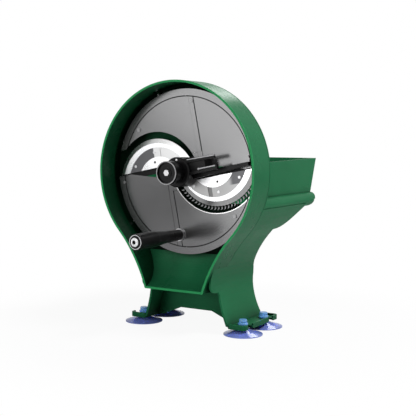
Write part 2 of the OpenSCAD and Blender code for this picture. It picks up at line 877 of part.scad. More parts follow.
module hub_knob() {
    color(black) on_axis() difference() {
        union() {
            difference() {
                union() {
                    pin_y(knob_r - hub_ring_w, knob_front_y, knob_front_y + knob_round);
                    cone_y(knob_r - knob_round / 2, knob_r, knob_front_y + hub_ring_t, knob_front_y + 2 * knob_round);
                    pin_y(knob_r, knob_front_y + 2 * knob_round, knob_back_y - knob_round);
                    cone_y(knob_r, knob_r - knob_round, knob_back_y - knob_round, knob_back_y);
                    pin_y(knob_neck_r, knob_back_y - over, hub_y);
                }
                pin_y(knob_recess_r, knob_front_y - over, knob_floor_y);
            }
            pin_y(hub_boss_r, knob_floor_y - hub_boss_h, knob_floor_y + over);
        }
        pin_y(hub_nut_r + fit_gap, knob_floor_y - hub_boss_h - over, knob_floor_y);
        pin_y(shaft_r + run_gap, shaft_front_y - fit_gap, hub_y + over);
    }
}

module hub_ring() {
    color(steel) on_axis() difference() {
        pin_y(knob_r, knob_front_y - fit_gap, knob_front_y + hub_ring_t - fit_gap);
        pin_y(knob_r - hub_ring_w + run_gap, knob_front_y - over, knob_front_y + hub_ring_t + over);
    }
}

module hub_nut() {
    color(steel) on_axis() pin_y(hub_nut_r, knob_floor_y - hub_nut_h, knob_floor_y, 6);
}

// Plates of the disc, drawn in the disc's plane for the upper half
module half_disc() {
    difference() {
        circle(r = drawn_disc_r, $fn = fine);
        rotate(-seam_lean) translate([-big / 2, seam_gap - big]) square([big, big]);
        translate([-big / 2, -big - tip_v]) square([big, big]);
        translate([-sickle_u, -sickle_v]) circle(r = sickle_r, $fn = fine);
        translate([-big / 2 - ring_end_u, -big + ring_end_v]) square([big / 2, big]);
    }
}

module flap_zone(gap) {
    intersection() {
        circle(r = (ring_inner_r - gap) / disc_share, $fn = fine);
        translate([-big / 2, strip_in_v + gap]) square([big / 2 + strip_in_u - gap, big]);
    }
}

module upper_strip() {
    intersection() {
        disc_slab(disc_y - strip_h, disc_y + over) translate([strip_in_u, strip_in_v])
            square([strip_out_u - strip_in_u, big]);
        pin_y(ring_inner_r, disc_y - over, disc_y + 2 * over);
    }
}

module flap_pin_bore(r, v0, v1) {
    translate([flap_pin_u * disc_share, flap_pin_y, v0]) cylinder(r = r, h = v1 - v0, $fn = small);
}

module half_plate(pad) {
    difference() {
        union() {
            disc_slab(disc_y, disc_back_y) difference() {
                half_disc();
                flap_zone(0);
            }
            upper_strip();
            if (pad) at_disc(grip_u, grip_v) pin_y(pad_r, disc_y - strip_h, disc_back_y);
        }
        difference() {
            pin_y(ring_inner_r, disc_y - over, disc_y + groove_depth);
            pin_y(ring_inner_r - groove_w, disc_y - 2 * over, drum_depth);
            disc_slab(0, drum_depth) translate([strip_in_u, 0]) square([strip_out_u - strip_in_u, big]);
        }
        flap_pin_bore(flap_pin_r, flap_pin_in_v * disc_share - fit_gap, flap_pin_end_r);
        if (pad) at_disc(grip_u, grip_v) pin_y(bolt_r + fit_gap, 0, drum_depth);
        at_disc(end_screw_u, -end_screw_v) pin_y(plate_screw_r / 2 + fit_gap, 0, drum_depth, small);
        if (!pad) at_disc(plate_screw_u, plate_screw_v) pin_y(plate_screw_r / 2 + fit_gap, 0, drum_depth, small);
    }
}

module half_flap(pad) {
    difference() {
        disc_slab(disc_y, disc_back_y) intersection() {
            half_disc();
            flap_zone(flap_gap);
        }
        flap_pin_bore(flap_pin_r + run_gap, 0, disc_r);
        if (pad) at_disc(grip_u, grip_v) pin_y(pad_r + flap_gap, 0, drum_depth);
        at_disc(-flap_screw_u, flap_screw_v) pin_y(flap_screw_r / 2 + fit_gap, 0, drum_depth, small);
    }
}

module flap_pin() {
    flap_pin_bore(flap_pin_r - run_gap / 2, flap_pin_in_v * disc_share, flap_pin_end_r - fit_gap);
}

module flap_screw() {
    at_disc(-flap_screw_u, flap_screw_v) difference() {
        union() {
            pin_y(flap_screw_r, disc_y - flap_screw_h, disc_y - fit_gap / 3, small);
            pin_y(flap_screw_r / 2, disc_y - flap_screw_h / 2, disc_back_y + flap_screw_h, small);
            pin_y(flap_screw_r, disc_back_y + fit_gap / 3, disc_back_y + flap_screw_h, small);
        }
        screw_slot(flap_screw_r + over, disc_y - flap_screw_h - fit_gap);
    }
}

module upper_plate() { color(grey) on_disc() half_plate(false); }
module lower_plate() { color(grey) on_disc() twin() half_plate(true); }
module upper_flap() { color(grey) on_disc() half_flap(false); }
module lower_flap() { color(grey) on_disc() twin() half_flap(true); }
module upper_flap_pin() { color(steel) on_disc() flap_pin(); }
module lower_flap_pin() { color(steel) on_disc() twin() flap_pin(); }
module upper_flap_screw() { color(steel) on_disc() flap_screw(); }
module lower_flap_screw() { color(steel) on_disc() twin() flap_screw(); }

// Blade: a round steel plate with a bevel, a thin edge that may be serrated, and a recess for its clamp
module tooth_outline() {
    root = blade_r - over;
    step = (tooth_to_turn - tooth_from_turn) / teeth;
    polygon(concat([[0, 0]], [for (i = [0:teeth - 1], share = tooth_shares)
        let (turn = tooth_from_turn + step * (i + share[0]), reach = root + (tooth_l + over) * share[1])
        reach * [cos(turn), sin(turn)]]));
}

module below_cut() {
    translate([-big / 2, -big - blade_cut_v]) square([big, big]);
}

module blade(serrated) {
    edge_y = disc_y + blade_t - blade_edge_t;
    difference() {
        intersection() {
            at_disc(blade_u, blade_v) {
                cone_y(bevel_r * disc_share, blade_r * disc_share, disc_y, edge_y);
                pin_y(blade_r * disc_share, edge_y, disc_y + blade_t);
                if (serrated) disc_slab(edge_y, disc_y + blade_t) tooth_outline();
            }
            disc_slab(0, drum_depth) below_cut();
            pin_y(disc_r - blade_clip_gap, 0, drum_depth);
            at_disc(sickle_u, sickle_v) pin_y((sickle_r - tooth_gap) * disc_share, 0, drum_depth);
        }
        at_disc(recess_u, recess_v) pin_y(recess_r * disc_share, disc_y - over, disc_y + recess_depth);
        disc_slab(disc_y - over, disc_y + notch_depth) translate([notch_in_u, -notch_low_v])
            square([notch_out_u - notch_in_u, notch_low_v - notch_top_v]);
        rivets_at() pin_y(rivet_r / 2 + fit_gap, disc_y, drum_depth, small);
    }
}

module rivets_at() {
    for (i = [0:len(rivet_u) - 1]) at_disc(rivet_u[i], -rivet_v[i]) children();
}

module clamp() {
    difference() {
        disc_slab(disc_y, disc_y + recess_depth) intersection() {
            translate([clamp_u, clamp_v]) circle(r = clamp_r, $fn = fine);
            below_cut();
        }
        at_disc(clamp_hole_u, -clamp_hole_v) pin_y(clamp_hole_r, disc_y - over, disc_y + recess_depth / 2, small);
    }
}

module right_blade() { color(steel) on_disc() blade(true); }
module left_blade() { color(steel) on_disc() twin() blade(false); }
module right_clamp() { color("#eef0f2") on_disc() clamp(); }
module left_clamp() { color("#eef0f2") on_disc() twin() clamp(); }

module rivet() {
    pin_y(rivet_r, disc_y + recess_depth - rivet_h, disc_y + recess_depth, small);
    pin_y(rivet_r / 2, disc_y + recess_depth - rivet_h / 2, disc_y + blade_t, small);
}

module blade_rivets() {
    color(steel) on_disc() for (side = [0, 180])
        rotate([0, side, 0]) rivets_at() rivet();
}

module plate_screw(front_y, back_y) {
    difference() {
        union() {
            pin_y(plate_screw_r, front_y - plate_screw_h, front_y, small);
            pin_y(plate_screw_r / 2, front_y - plate_screw_h / 2, back_y, small);
        }
        screw_slot(plate_screw_r + over, front_y - plate_screw_h - fit_gap);
    }
}

module plate_screws() {
    color(steel) on_disc() {
        at_disc(plate_screw_u, plate_screw_v) plate_screw(disc_y - strip_h, disc_back_y);
        at_disc(end_screw_u, -end_screw_v) plate_screw(disc_y - hook_t, spider_back_y);
        twin() at_disc(end_screw_u, -end_screw_v) plate_screw(disc_y, spider_back_y);
    }
}

// Crank handle on its bolt
module on_handle() {
    on_disc() twin() at_disc(grip_u, grip_v) children();
}

module handle_bolt() {
    color(steel) on_handle() difference() {
        union() {
            pin_y(bolt_r, grip_front_y - over / 2, bolt_end_y, small);
            pin_y(bolt_head_r, bolt_front_y + bolt_head_round, grip_front_y - fit_gap, small);
            cone_y(bolt_head_r - bolt_head_round, bolt_head_r, bolt_front_y, bolt_front_y + bolt_head_round);
        }
        pin_y(bolt_recess_r, bolt_front_y - over, grip_front_y - over, 6);
    }
}

module handle_washer() {
    color(steel) on_handle() difference() {
        pin_y(handle_washer_r, disc_y - strip_h - handle_washer_t, disc_y - strip_h);
        pin_y(bolt_r + run_gap, 0, drum_depth, small);
    }
}

module handle_nut() {
    color(steel) on_handle() difference() {
        pin_y(handle_nut_r, disc_back_y, disc_back_y + handle_nut_t, 6);
        pin_y(bolt_r + run_gap, 0, drum_depth, small);
    }
}

module handle_grip() {
    ring_r = grip_r - grip_ring_out;
    color(black) on_handle() difference() {
        rotate([90, 0, 0]) rotate_extrude($fn = fine) polygon(concat(
            [[0, -grip_back_y], [grip_r - grip_root_w, -grip_back_y],
                [grip_r - grip_waist_w, grip_root_l - grip_back_y], [grip_r, grip_shoulder_l - grip_back_y]],
            arc([grip_r - grip_end_round, -grip_front_y - grip_end_round], grip_end_round, 0, 90, corner_steps),
            [[0, -grip_front_y]]));
        pin_y(bolt_r + run_gap, grip_front_y - over, drum_depth, small);
        difference() {
            pin_y(ring_r, grip_front_y - over, grip_front_y + grip_ring_h);
            pin_y(ring_r - grip_ring_w, grip_front_y - 2 * over, drum_depth);
        }
    }
}

module grip_ring() {
    ring_r = grip_r - grip_ring_out;
    color(steel) on_handle() difference() {
        pin_y(ring_r, grip_front_y - fit_gap, grip_front_y + grip_ring_h);
        pin_y(ring_r - grip_ring_w, grip_front_y - over, drum_depth);
    }
}

drum_shell();
rear_housing();
chute_slide();
left_leg();
right_leg();
base_apron();
feed_trough();
shaft_cover();
shaft_bush();
housing_screws();
front_left_cup();
front_right_cup();
rear_left_cup();
rear_right_cup();
crank_shaft();
shaft_spacer();
rear_washer();
rear_nut();
disc_spider();
hub_bracket();
hub_screw();
fork_rods();
hub_knob();
hub_ring();
hub_nut();
upper_plate();
lower_plate();
left_blade();
right_blade();
left_clamp();
right_clamp();
blade_rivets();
plate_screws();
upper_flap();
lower_flap();
upper_flap_pin();
lower_flap_pin();
upper_flap_screw();
lower_flap_screw();
handle_bolt();
handle_washer();
handle_nut();
handle_grip();
grip_ring();
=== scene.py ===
import json
import math

import bmesh
import bpy
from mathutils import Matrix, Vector


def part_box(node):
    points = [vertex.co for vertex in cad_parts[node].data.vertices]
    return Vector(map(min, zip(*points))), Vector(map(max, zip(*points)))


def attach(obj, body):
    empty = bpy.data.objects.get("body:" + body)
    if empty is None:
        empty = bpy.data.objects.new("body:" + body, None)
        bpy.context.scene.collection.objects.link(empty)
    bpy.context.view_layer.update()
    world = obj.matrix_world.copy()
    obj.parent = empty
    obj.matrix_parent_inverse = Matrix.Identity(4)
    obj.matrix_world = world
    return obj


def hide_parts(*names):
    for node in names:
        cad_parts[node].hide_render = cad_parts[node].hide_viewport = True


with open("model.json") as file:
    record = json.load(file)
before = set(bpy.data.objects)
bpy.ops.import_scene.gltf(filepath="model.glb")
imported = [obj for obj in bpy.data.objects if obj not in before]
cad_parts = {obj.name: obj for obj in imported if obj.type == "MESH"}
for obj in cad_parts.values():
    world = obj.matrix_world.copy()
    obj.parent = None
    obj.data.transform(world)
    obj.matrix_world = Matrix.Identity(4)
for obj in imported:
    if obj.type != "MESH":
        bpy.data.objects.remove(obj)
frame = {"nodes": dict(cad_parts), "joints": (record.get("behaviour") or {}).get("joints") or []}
nodes = frame["nodes"]
joints = {joint["name"]: joint for joint in frame["joints"]}
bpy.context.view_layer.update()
scene = bpy.context.scene
scene.view_settings.view_transform = "Standard"

MM = 0.001

# The front rim, the crank axis and the turn of the disc at rest, as the frame has them
FRONT_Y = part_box("drum_shell")[0].y
AXIS = Vector((0, FRONT_Y, joints["crank_turn"]["pos_m"][2]))
LEAF_AXIS = joints["upper_leaf_tilt"]["axis"]
TURN = math.atan2(-LEAF_AXIS[0], LEAF_AXIS[2])

GREEN = (0.015, 0.15, 0.06)
# A painted highlight along the drum's front rim and the slide's lip
RIM_HIGHLIGHT_GREEN = (0.028, 0.3, 0.1)

# Depths behind the front rim where painted light on the green plastic begins or ends: a painted
# highlight along the rim before the first, painted shade on the drum's inner wall behind the second,
# and painted shade on the rear plate's face before the third
RIM_DEPTH = 0.9 * MM
DISC_DEPTH = 31 * MM
PLATE_FACE_DEPTH = 45.8 * MM

# Circles round the crank axis
INNER_WALL_R = 128.5 * MM
RING_IN_R = 109.2 * MM

# A place on the disc is across and up from the crank axis, in the disc's own frame. The blade, its
# recess and its clamp are the right ones, and the left ones lie half a turn round.
BLADE = (52 * MM, 11 * MM)
BLADE_EDGE_R = 68.3 * MM
BEVEL_R = 61.7 * MM
RECESS = (48.4 * MM, 11.4 * MM)
RECESS_R = 55.9 * MM
CLAMP = (46.5 * MM, 6.5 * MM)
CLAMP_HOLE = (50 * MM, -22.9 * MM)
CLAMP_HOLE_R = 1.8 * MM
BOLT_SOCKET_R = 2.8 * MM

# The middle and radius of the lower opening, whose cut edge has a painted highlight, and of the lit
# patch of the rear plate that the painted shade on its face leaves out
SICKLE = ((51.4 * MM, 7.3 * MM), 74.7 * MM)
LIT_PATCH = ((-33 * MM, 62 * MM), 30 * MM)

# The raised strip's two edges across the disc, each with the darkness of the painted shadow line along it
STRIP_LINES = ((25.8 * MM, 0.35), (33.6 * MM, 1.0))

# Across the disc: both sides of the right recess's notch of painted shade, and where painted shade
# on the left recess begins
NOTCH_EDGES = (32 * MM, 38.6 * MM)
LEFT_SHADE_U = 50 * MM

# Across and up: where painted shade on the right recess begins
RIGHT_SHADE = (71 * MM, -31 * MM)

# Across the disc: the screw at the arm's end lies past this
END_SCREW_U = 100 * MM

# Height of the suction cups' feet, below their knobs
FOOT_TOP = 13 * MM


def grey(tone):
    return (tone, tone, tone)


def tint(colour, factor):
    return tuple(min(1.0, c * factor) for c in colour)


def half_turned(place, side):
    """A place on the disc where side is 1, and the place half a turn round from it where side is -1."""
    return side * place[0], side * place[1]


def on_disc(place):
    """Across and up in the disc's own frame, in metres, of a place in the world."""
    x, _, z = Vector(place) - AXIS
    return x * math.cos(TURN) + z * math.sin(TURN), z * math.cos(TURN) - x * math.sin(TURN)


class Nodes:
    """Short calls for the nodes of one tree. A value is a number, a colour or another node's output."""

    def __init__(self, tree):
        self.tree = tree

    def put(self, socket, value):
        if isinstance(value, bpy.types.NodeSocket):
            self.tree.links.new(value, socket)
        else:
            socket.default_value = value

    def add(self, kind, **inputs):
        """Adds a node. A key that starts with _ sets a property, and any other key names an input."""
        node = self.tree.nodes.new(kind)
        for key, value in inputs.items():
            if key.startswith("_"):
                setattr(node, key[1:], value)
            else:
                self.put(node.inputs[key.replace("_", " ")], value)
        return node

    def math(self, kind, a, b=0.0):
        node = self.add("ShaderNodeMath", _operation=kind)
        self.put(node.inputs[0], a)
        self.put(node.inputs[1], b)
        return node.outputs[0]

    def times(self, a, b):
        return self.math("MULTIPLY", a, b)

    def most(self, a, b):
        return self.math("MAXIMUM", a, b)

    def but(self, value):
        """1 where the value is 0, and 0 where it is 1."""
        return self.math("SUBTRACT", 1.0, value)

    def span(self, value, low, high, from_low=0.0, from_high=1.0, smooth=False):
        """Goes from low to high while the value goes from from_low to from_high, and no further."""
        kind = "SMOOTHSTEP" if smooth else "LINEAR"
        node = self.add("ShaderNodeMapRange", Value=value, From_Min=from_low, From_Max=from_high,
                        To_Min=low, To_Max=high, _interpolation_type=kind)
        return node.outputs["Result"]

    def past(self, value, edge, soft=0.2 * MM):
        """0 below the edge and 1 past it, with a soft step."""
        return self.span(value, 0, 1, edge - soft, edge + soft, smooth=True)

    def band(self, value, low, high):
        """1 between two edges and 0 elsewhere."""
        return self.math("SUBTRACT", self.past(value, low), self.past(value, high))

    def line(self, value, edge, before, after):
        """1 along an edge, from a width before it to a width after it, and 0 elsewhere."""
        return self.band(value, edge - before, edge + after)

    def mix(self, fac, a, b):
        """Mixes two colours, from a where fac is 0 to b where it is 1."""
        node = self.add("ShaderNodeMix", _data_type="RGBA")
        self.put(node.inputs["Factor"], fac)
        for socket, colour in ((node.inputs[6], a), (node.inputs[7], b)):
            self.put(socket, colour if isinstance(colour, bpy.types.NodeSocket) else (*colour, 1))
        return node.outputs[2]

    def ramp(self, fac, stops):
        node = self.add("ShaderNodeValToRGB", Fac=fac)
        line = node.color_ramp
        while len(line.elements) < len(stops):
            line.elements.new(0.5)
        for element, (at, colour) in zip(line.elements, stops):
            element.position = at
            element.color = (*colour, 1)
        return node.outputs["Color"]


class Finish(Nodes):
    """A material with the patterns that these finishes share. They lie in the piece's own coordinates."""

    def __init__(self, name):
        self.mat = bpy.data.materials.new(name)
        self.mat.use_nodes = True
        super().__init__(self.mat.node_tree)
        self.shader = self.tree.nodes["Principled BSDF"]
        self.coords = self.add("ShaderNodeTexCoord").outputs["Object"]

    def shade(self, **values):
        for key, value in values.items():
            self.put(self.shader.inputs[key.replace("_", " ")], value)

    def mapped(self, scale=(1, 1, 1), turn=(0, 0, 0), place=(0, 0, 0), source=None):
        node = self.add("ShaderNodeMapping", Vector=source or self.coords, Scale=scale, Rotation=turn,
                        Location=place)
        return node.outputs["Vector"]

    def axes(self, source):
        return self.add("ShaderNodeSeparateXYZ", Vector=source).outputs

    def depth(self):
        """Depth behind the drum's front rim."""
        return self.math("SUBTRACT", self.axes(self.coords)["Y"], FRONT_Y)

    def disc_plane(self):
        """Coordinates in the disc's own frame: across in x and up in z, from the crank axis at rest."""
        return self.mapped(turn=(0, TURN, 0),
                           place=(-AXIS.z * math.sin(TURN), 0, -AXIS.z * math.cos(TURN)))

    def length(self, source):
        return self.add("ShaderNodeVectorMath", Vector=source, _operation="LENGTH").outputs["Value"]

    def radius(self, centre):
        """Distance from the axis through a place on the disc."""
        place = (-centre[0], 0, -centre[1])
        return self.length(self.mapped(scale=(1, 0, 1), place=place, source=self.disc_plane()))

    def noise(self, scale, detail=3.0, rough=0.5, source=None, distort=0.0):
        node = self.add("ShaderNodeTexNoise", Vector=source or self.coords, Scale=scale, Detail=detail,
                        Roughness=rough, Distortion=distort)
        return node.outputs["Fac"]

    def rings(self, radius, pitch):
        """Fine turning lines round an axis."""
        node = self.add("ShaderNodeTexNoise", _noise_dimensions="1D", W=self.times(radius, 1 / pitch),
                        Scale=1.0, Detail=3.0)
        return node.outputs["Fac"]

    def bump(self, height, strength, distance, normal=None):
        node = self.add("ShaderNodeBump", Height=height, Strength=strength, Distance=distance)
        if normal:
            self.put(node.inputs["Normal"], normal)
        return node.outputs["Normal"]


def moulded(name, colour, rough, grain, swirl, specular=0.5, reach=50 * MM, front=None, lit=None,
            deep=None):
    """Injection moulded plastic: flow streaks, orange peel, a worn sheen, and painted shade that darkens
    its hollows, as ambient occlusion finds them over the reach.

    Front is a depth and the colour that the plastic takes before it, which is a painted highlight along
    the rim and lip, and painted shade on the rear plate's face. Lit is the middle and radius of a lit
    patch that this painted shade leaves out. Deep is a depth and a radius: the plastic behind the one
    and within the other is painted near black with shade.
    """
    painted_hollow_shade, painted_deep_shade = tint(colour, 0.1), tint(colour, 0.05)
    shut, open_to_light = 0.3, 0.85
    g = Finish(name)
    flow = g.noise(scale=9, detail=4, rough=0.55, source=g.mapped(scale=(1, 1, 2.2)), distort=0.7)
    haze = g.noise(scale=38, detail=5, rough=0.6)
    peel = g.bump(g.noise(scale=260, detail=2, rough=0.4), strength=grain, distance=0.4 * MM)
    pores = g.bump(g.noise(scale=900, detail=2), strength=grain, distance=0.1 * MM, normal=peel)
    openness = g.add("ShaderNodeAmbientOcclusion", Distance=reach, _samples=8).outputs["AO"]
    body = g.ramp(flow, [(0.25, tint(colour, 1 - swirl)), (0.5, colour), (0.78, tint(colour, 1 + swirl))])
    # Painted shade: the hollows that ambient occlusion finds are darkened
    body = g.mix(g.span(openness, 0, 1, shut, open_to_light), painted_hollow_shade, body)
    # Painted light before the front depth: the highlight along the rim and lip, the shade on the rear
    # plate's face
    if front:
        front_depth, painted_front_tone = front
        before = g.but(g.past(g.depth(), front_depth, soft=0.3 * MM))
        if lit:
            middle, patch_r = lit
            before = g.times(before, g.past(g.radius(middle), patch_r, soft=10 * MM))
        body = g.mix(before, body, painted_front_tone)
    # Painted shade: near black on the inner wall behind the disc
    if deep:
        deep_depth, deep_r = deep
        behind = g.past(g.depth(), deep_depth, soft=2 * MM)
        within = g.but(g.past(g.radius((0, 0)), deep_r, soft=1.2 * MM))
        body = g.mix(g.times(behind, within), body, painted_deep_shade)
    g.shade(Base_Color=body, Roughness=g.span(haze, rough - 0.05, rough + 0.09, 0.25, 0.75),
            Normal=pores, Specular_IOR_Level=specular, IOR=1.35)
    return g.mat


def plated(name, colour, rough, socket=None, black_past=None):
    """Plated steel with fine lines from grinding and a faint haze.

    Socket is the middle of a socket painted dark with shade, and a screw further across the disc than
    black_past is blackened.
    """
    blackened, painted_socket_shade = grey(0.008), grey(0.01)
    g = Finish(name)
    lines = g.noise(scale=1, detail=3, rough=0.6, source=g.mapped(scale=(1800, 40, 40)))
    cloud = g.noise(scale=22, detail=4, rough=0.6)
    body = g.ramp(cloud, [(0.3, tint(colour, 0.9)), (0.7, tint(colour, 1.08))])
    if black_past:
        body = g.mix(g.past(g.axes(g.disc_plane())["X"], black_past), body, blackened)
    if socket:
        # Painted shade in the bolt's socket
        body = g.mix(g.past(g.radius(socket), BOLT_SOCKET_R, soft=0.1 * MM), painted_socket_shade, body)
    g.shade(Base_Color=body, Metallic=1.0, Roughness=g.span(cloud, rough - 0.06, rough + 0.08, 0.3, 0.7),
            Normal=g.bump(lines, strength=0.1, distance=0.2 * MM))
    return g.mat


def disc_satin(name, bright=None):
    """The disc: satin metal with a fine grain, faint clouding, turning marks, painted shade in its ring
    groove and painted shadow lines along the raised strip's edges. Bright is the middle and radius of
    an opening whose cut edge takes a painted highlight."""
    colour, painted_groove_shade, painted_shade_cover, painted_cut_highlight = (0.18, 0.18, 0.182), grey(0.006), 0.95, grey(0.9)
    g = Finish(name)
    cloud = g.noise(scale=7, detail=4, distort=0.3)
    radius = g.radius((0, 0))
    pebble = g.bump(g.noise(scale=1300, detail=2), strength=0.1, distance=0.2 * MM)
    marks = g.bump(g.rings(radius, 0.7 * MM), strength=0.05, distance=0.2 * MM, normal=pebble)
    plane = g.axes(g.disc_plane())
    across = g.times(plane["X"], g.math("SIGN", plane["Z"]))
    grooves = g.line(radius, RING_IN_R, before=1.4 * MM, after=0.2 * MM)
    inside = g.but(g.past(radius, RING_IN_R))
    for edge, darkness in STRIP_LINES:
        groove = g.times(inside, g.line(across, edge, before=0.6 * MM, after=0.4 * MM))
        grooves = g.most(grooves, g.times(groove, darkness))
    body = g.ramp(cloud, [(0.3, tint(colour, 0.96)), (0.7, tint(colour, 1.04))])
    if bright:
        middle, cut_r = bright
        # A painted highlight along the opening's cut edge
        body = g.mix(g.line(g.radius(middle), cut_r, before=1 * MM, after=1.1 * MM), body, painted_cut_highlight)
    # Painted shade in the ring groove, and painted shadow lines at the raised strip's edges
    body = g.mix(g.times(grooves, painted_shade_cover), body, painted_groove_shade)
    g.shade(Base_Color=body, Metallic=0.85, Roughness=g.span(cloud, 0.17, 0.24, 0.3, 0.7), Normal=marks)
    return g.mat


def blade_steel(name, side):
    """A blade: polished ring, etched recess with a part in painted shade, ground bevel, and teeth painted
    dark with shade and dark reflection. Side is 1 on the right, and -1 on the left, where everything is
    half a turn round and the bevel and recess are painted lighter, as if lit more."""
    polished, painted_recess_shade = (0.88, 0.89, 0.9), (0.11, 0.11, 0.115)
    painted_tooth_root, painted_tooth_tip = grey(0.012), (0.24, 0.24, 0.245)
    inset, etched_rough = 0.2 * MM, 0.08
    g = Finish(name)
    from_blade = g.radius(half_turned(BLADE, side))
    plane = g.axes(g.disc_plane())
    across = g.times(plane["X"], side)
    up = g.times(plane["Z"], side)
    in_recess = g.but(g.past(g.radius(half_turned(RECESS, side)), RECESS_R - inset))
    if side == 1:
        # The right blade's bevel and recess are painted darker than the left's, and its notch is painted
        # shade
        bevel, etched, notch = grey(0.42), grey(0.36), grey(0.16)
        recess = g.mix(g.band(across, *NOTCH_EDGES), etched, notch)
        right_of, above = RIGHT_SHADE
        darker = g.times(g.past(across, right_of, soft=4 * MM), g.past(up, above, soft=0.6 * MM))
    else:
        # The left blade's bevel and recess are painted lighter, as if lit more
        bevel, recess = grey(0.7), grey(0.62)
        darker = g.past(across, LEFT_SHADE_U, soft=0.8 * MM)
    colour = g.mix(g.past(from_blade, BEVEL_R), polished, bevel)
    colour = g.mix(in_recess, colour, recess)
    # Painted shade over a part of the recess
    colour = g.mix(g.times(darker, in_recess), colour, painted_recess_shade)
    # The teeth are painted dark as shade and dark reflection, darkest at the root and lighter at the tips
    tips = g.span(from_blade, 0, 1, BLADE_EDGE_R + 1 * MM, BLADE_EDGE_R + 4 * MM)
    colour = g.mix(g.past(from_blade, BLADE_EDGE_R + inset), colour, g.mix(tips, painted_tooth_root, painted_tooth_tip))
    rough = g.span(g.noise(scale=30, detail=4, rough=0.6), 0.24, 0.32, 0.3, 0.7)
    lines = g.rings(from_blade, 0.45 * MM)
    g.shade(Base_Color=colour, Metallic=1.0,
            Roughness=g.math("ADD", rough, g.times(in_recess, etched_rough)),
            Normal=g.bump(lines, strength=0.08, distance=0.2 * MM))
    return g.mat


def clamp_steel(name, side):
    """The bright disc at a blade's middle, with painted shade in its small hole. Side is as for a blade."""
    painted_hole_shade = grey(0.03)
    g = Finish(name)
    # Painted shade in the small hole
    hole = g.but(g.past(g.radius(half_turned(CLAMP_HOLE, side)), CLAMP_HOLE_R))
    lines = g.rings(g.radius(half_turned(CLAMP, side)), 0.5 * MM)
    cloud = g.noise(scale=30, detail=4, rough=0.6)
    body = g.ramp(cloud, [(0.3, (0.86, 0.86, 0.87)), (0.7, (0.93, 0.93, 0.94))])
    g.shade(Base_Color=g.mix(hole, body, painted_hole_shade), Metallic=1.0,
            Roughness=g.span(cloud, 0.24, 0.34, 0.3, 0.7),
            Normal=g.bump(lines, strength=0.08, distance=0.2 * MM))
    return g.mat


def vinyl(name, colour, knob_colour):
    """Soft tinted vinyl that light passes through, with a colour of its own in the knob above the foot."""
    g = Finish(name)
    cloud = g.noise(scale=60, detail=3)
    body = g.ramp(cloud, [(0.3, tint(colour, 0.85)), (0.7, tint(colour, 1.12))])
    knob = g.past(g.axes(g.coords)["Z"], FOOT_TOP, soft=2 * MM)
    ripple = g.noise(scale=500, detail=2)
    g.shade(Base_Color=g.mix(knob, body, knob_colour), Transmission_Weight=0.4, IOR=1.45,
            Roughness=g.span(cloud, 0.08, 0.2, 0.3, 0.7),
            Normal=g.bump(ripple, strength=0.05, distance=0.2 * MM))
    return g.mat


def green_plastic(name, rough, specular=0.11, **parts):
    return moulded(name, GREEN, rough, grain=0.06, swirl=0.08, specular=specular, **parts)


FINISHES = {
    "green": green_plastic("green_shell", 0.33),
    # The drum: a painted highlight along its front rim, and painted shade, near black, on its inner wall
    # behind the disc
    "rimmed": green_plastic("green_rimmed", 0.28, front=(RIM_DEPTH, RIM_HIGHLIGHT_GREEN), reach=150 * MM,
                            deep=(DISC_DEPTH, INNER_WALL_R)),
    # The slide: a painted highlight along its lip
    "slide": green_plastic("green_slide", 0.28, front=(RIM_DEPTH, RIM_HIGHLIGHT_GREEN)),
    # The rear plate's face is painted near black with shade, except for the lit patch
    "inner": green_plastic("green_inner", 0.5, specular=0.08, lit=LIT_PATCH,
                           front=(PLATE_FACE_DEPTH, tint(GREEN, 0.05))),
    "violet": vinyl("violet_vinyl", colour=(0.28, 0.36, 0.97), knob_colour=(0.24, 0.55, 1.0)),
    "black": moulded("black_plastic", (0.006, 0.006, 0.0062), rough=0.3, grain=0.12, swirl=0.25,
                     specular=0.3),
    "grey": disc_satin("disc_grey"),
    "cut_grey": disc_satin("disc_cut_grey", bright=SICKLE),
    "right_blade": blade_steel("right_blade_steel", 1),
    "left_blade": blade_steel("left_blade_steel", -1),
    "right_clamp": clamp_steel("right_clamp_steel", 1),
    "left_clamp": clamp_steel("left_clamp_steel", -1),
    "bush": moulded("bush_plastic", (0.7, 0.67, 0.58), rough=0.4, grain=0.1, swirl=0.05),
    "steel": plated("plated_steel", (0.62, 0.62, 0.63), rough=0.28),
    "screw": plated("screw_steel", (0.3, 0.3, 0.305), rough=0.4, black_past=END_SCREW_U),
    "bolt": plated("bolt_steel", (0.85, 0.85, 0.86), rough=0.25,
                   socket=on_disc(joints["grip_spin"]["pos_m"])),
    "rods": plated("rod_steel", (0.35, 0.35, 0.36), rough=0.3),
}

# The nodes of each finish. The others are steel.
NODES_OF = {
    "green": ("left_leg", "right_leg", "base_apron", "feed_trough", "shaft_cover"),
    "rimmed": ("drum_shell",),
    "slide": ("chute_slide",),
    "inner": ("rear_housing",),
    "violet": ("front_left_cup", "front_right_cup", "rear_left_cup", "rear_right_cup"),
    "black": ("hub_bracket", "hub_knob", "handle_grip", "disc_spider"),
    "grey": ("upper_plate", "upper_flap"),
    "cut_grey": ("lower_plate", "lower_flap"),
    "right_blade": ("right_blade",),
    "left_blade": ("left_blade",),
    "right_clamp": ("right_clamp",),
    "left_clamp": ("left_clamp",),
    "bush": ("shaft_bush",),
    "screw": ("plate_screws", "upper_flap_screw", "lower_flap_screw", "hub_ring"),
    "bolt": ("handle_bolt",),
}

# How far the edges of each finish are rounded, in millimetres. The others stay sharp.
ROUNDING = {
    "green": 0.4, "rimmed": 0.3, "slide": 0.7, "inner": 0.6, "violet": 0.3, "black": 0.6, "bush": 0.3,
    "grey": 0.3, "cut_grey": 0.4, "left_blade": 0.1, "right_clamp": 0.1, "left_clamp": 0.1,
    "steel": 0.2, "bolt": 0.3,
}
SHARP_NODES = ("blade_rivets", "upper_flap_pin", "lower_flap_pin")


def coat(obj, finish):
    obj.data.materials.clear()
    obj.data.materials.append(FINISHES[finish])


